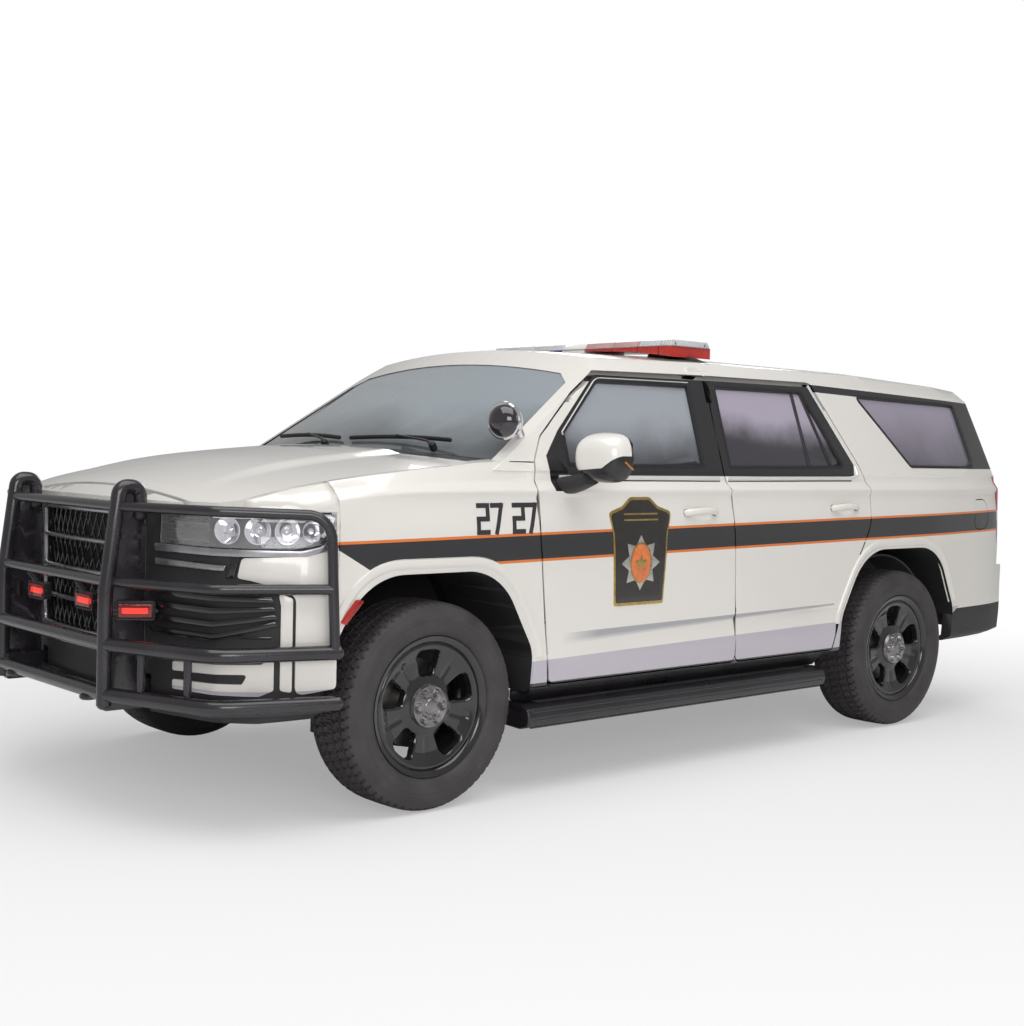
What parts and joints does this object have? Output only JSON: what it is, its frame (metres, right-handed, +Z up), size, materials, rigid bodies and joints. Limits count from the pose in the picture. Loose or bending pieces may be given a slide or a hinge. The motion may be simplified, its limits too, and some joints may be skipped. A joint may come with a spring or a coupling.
{
  "type": "police utility vehicle",
  "caption": "Patrol utility vehicle with push bumper, spotlight and roof light bar; doors, bonnet, tailgate, fuel lid, steering and wheels move.",
  "frame": {"origin": "bottom centre of the whole vehicle, on the ground midway along its length", "axes": "+X forward, +Y to the vehicle's left (driver's side), +Z up"},
  "size_m": [5.434, 2.51, 1.919],
  "materials": {
    "body_paint": "ivory-white body paint, gloss; black waist band with thin orange edge lines and black sills on the sides",
    "chassis": "black chassis paint, satin",
    "cast": "dull grey casting",
    "floor_pan": "dark grey primer, matte",
    "cowl_plastic": "fine-grained black",
    "black_plastic": "gloss black moulding",
    "black_steel": "gloss black powder coat",
    "lamp_clear": "clear lamp lens",
    "lamp_red": "red lamp lens",
    "glass_blue": "bluish tinted glass",
    "glass_dark": "dark privacy glass",
    "bright_trim": "polished",
    "seat_cloth": "dark grey woven cloth",
    "dash_plastic": "soft black grain",
    "steel": "dull stainless",
    "wheel_black": "gloss black wheel paint",
    "tyre": "black rubber, matte"
  },
  "bodies": {
    "body": {"frame": "chassis", "engine": "cast", "floor": "floor_pan", "cowl": "cowl_plastic", "roof": "body_paint", "side_left": "body_paint", "side_right": "body_paint", "fenders": "body_paint", "front_bumper": "body_paint", "grille": "black_plastic", "headlamps": "lamp_clear", "rear_bumper": "body_paint", "tail_lamps": "lamp_red", "windscreen": "glass_blue", "quarter_glass": "glass_dark", "push_bumper": "black_steel", "running_boards": "black_steel", "light_bar": "black_plastic", "light_bar_lenses": "lamp_clear", "spotlight": "bright_trim", "rear_axle": "chassis", "seats": "seat_cloth", "dashboard": "dash_plastic", "exhaust": "steel"},
    "hood": {"hood": "body_paint"},
    "door_front_left": {"door_front_left": "body_paint", "glass_front_left": "glass_blue", "mirror_left": "body_paint"},
    "door_front_right": {"door_front_right": "body_paint", "glass_front_right": "glass_blue", "mirror_right": "body_paint"},
    "door_rear_left": {"door_rear_left": "body_paint", "glass_rear_left": "glass_dark"},
    "door_rear_right": {"door_rear_right": "body_paint", "glass_rear_right": "glass_dark"},
    "tailgate": {"tailgate": "body_paint", "tailgate_glass": "glass_dark"},
    "fuel_lid": {"fuel_lid": "body_paint"},
    "knuckle_left": {"knuckle_left": "chassis"},
    "knuckle_right": {"knuckle_right": "chassis"},
    "steering_wheel": {"steering_wheel": "dash_plastic"},
    "wheels_front_left": {"wheel_front_left": "wheel_black", "tyre_front_left": "tyre"},
    "wheels_front_right": {"wheel_front_right": "wheel_black", "tyre_front_right": "tyre"},
    "wheels_rear_left": {"wheel_rear_left": "wheel_black", "tyre_rear_left": "tyre"},
    "wheels_rear_right": {"wheel_rear_right": "wheel_black", "tyre_rear_right": "tyre"}
  },
  "joints": [
    {"name": "hood_hinge", "type": "hinge", "parent": "body", "child": "hood", "pos_m": [1.374, 0, 1.327], "axis": [0, -1, 0], "range_deg": [0, 50]},
    {"name": "door_front_left_hinge", "type": "hinge", "parent": "body", "child": "door_front_left", "pos_m": [0.994, 0.985, 0.89], "axis": [0, 0, -1], "range_deg": [0, 65]},
    {"name": "door_front_right_hinge", "type": "hinge", "parent": "body", "child": "door_front_right", "pos_m": [0.994, -0.985, 0.89], "axis": [0, 0, 1], "range_deg": [0, 65]},
    {"name": "door_rear_left_hinge", "type": "hinge", "parent": "body", "child": "door_rear_left", "pos_m": [-0.186, 0.985, 0.89], "axis": [0, 0, -1], "range_deg": [0, 65]},
    {"name": "door_rear_right_hinge", "type": "hinge", "parent": "body", "child": "door_rear_right", "pos_m": [-0.186, -0.985, 0.89], "axis": [0, 0, 1], "range_deg": [0, 65]},
    {"name": "tailgate_hinge", "type": "hinge", "parent": "body", "child": "tailgate", "pos_m": [-2.39, 0, 1.8025], "axis": [0, 1, 0], "range_deg": [0, 85]},
    {"name": "fuel_lid_hinge", "type": "hinge", "parent": "body", "child": "fuel_lid", "pos_m": [-2.218, 0.9575, 1.085], "axis": [0, 0, -1], "range_deg": [0, 90]},
    {"name": "steer_left", "type": "hinge", "parent": "body", "child": "knuckle_left", "pos_m": [1.614, 0.8, 0.402], "axis": [0, 0, 1], "range_deg": [-33, 33]},
    {"name": "steer_right", "type": "hinge", "parent": "body", "child": "knuckle_right", "pos_m": [1.614, -0.8, 0.402], "axis": [0, 0, 1], "range_deg": [-33, 33]},
    {"name": "steering_wheel_turn", "type": "hinge", "parent": "body", "child": "steering_wheel", "pos_m": [0.614, 0.41, 1.19], "axis": [-0.9063, 0, 0.4226], "range_deg": [-462, 462]},
    {"name": "wheel_front_left_spin", "type": "hinge", "parent": "knuckle_left", "child": "wheels_front_left", "pos_m": [1.614, 0.87, 0.402], "axis": [0, 1, 0], "continuous": true},
    {"name": "wheel_front_right_spin", "type": "hinge", "parent": "knuckle_right", "child": "wheels_front_right", "pos_m": [1.614, -0.87, 0.402], "axis": [0, 1, 0], "continuous": true},
    {"name": "wheel_rear_left_spin", "type": "hinge", "parent": "body", "child": "wheels_rear_left", "pos_m": [-1.457, 0.87, 0.402], "axis": [0, 1, 0], "continuous": true},
    {"name": "wheel_rear_right_spin", "type": "hinge", "parent": "body", "child": "wheels_rear_right", "pos_m": [-1.457, -0.87, 0.402], "axis": [0, 1, 0], "continuous": true}
  ],
  "couplings": [
    {"joint": "steer_right", "follows": "steer_left", "ratio": 1},
    {"joint": "steering_wheel_turn", "follows": "steer_left", "ratio": 14}
  ]
}
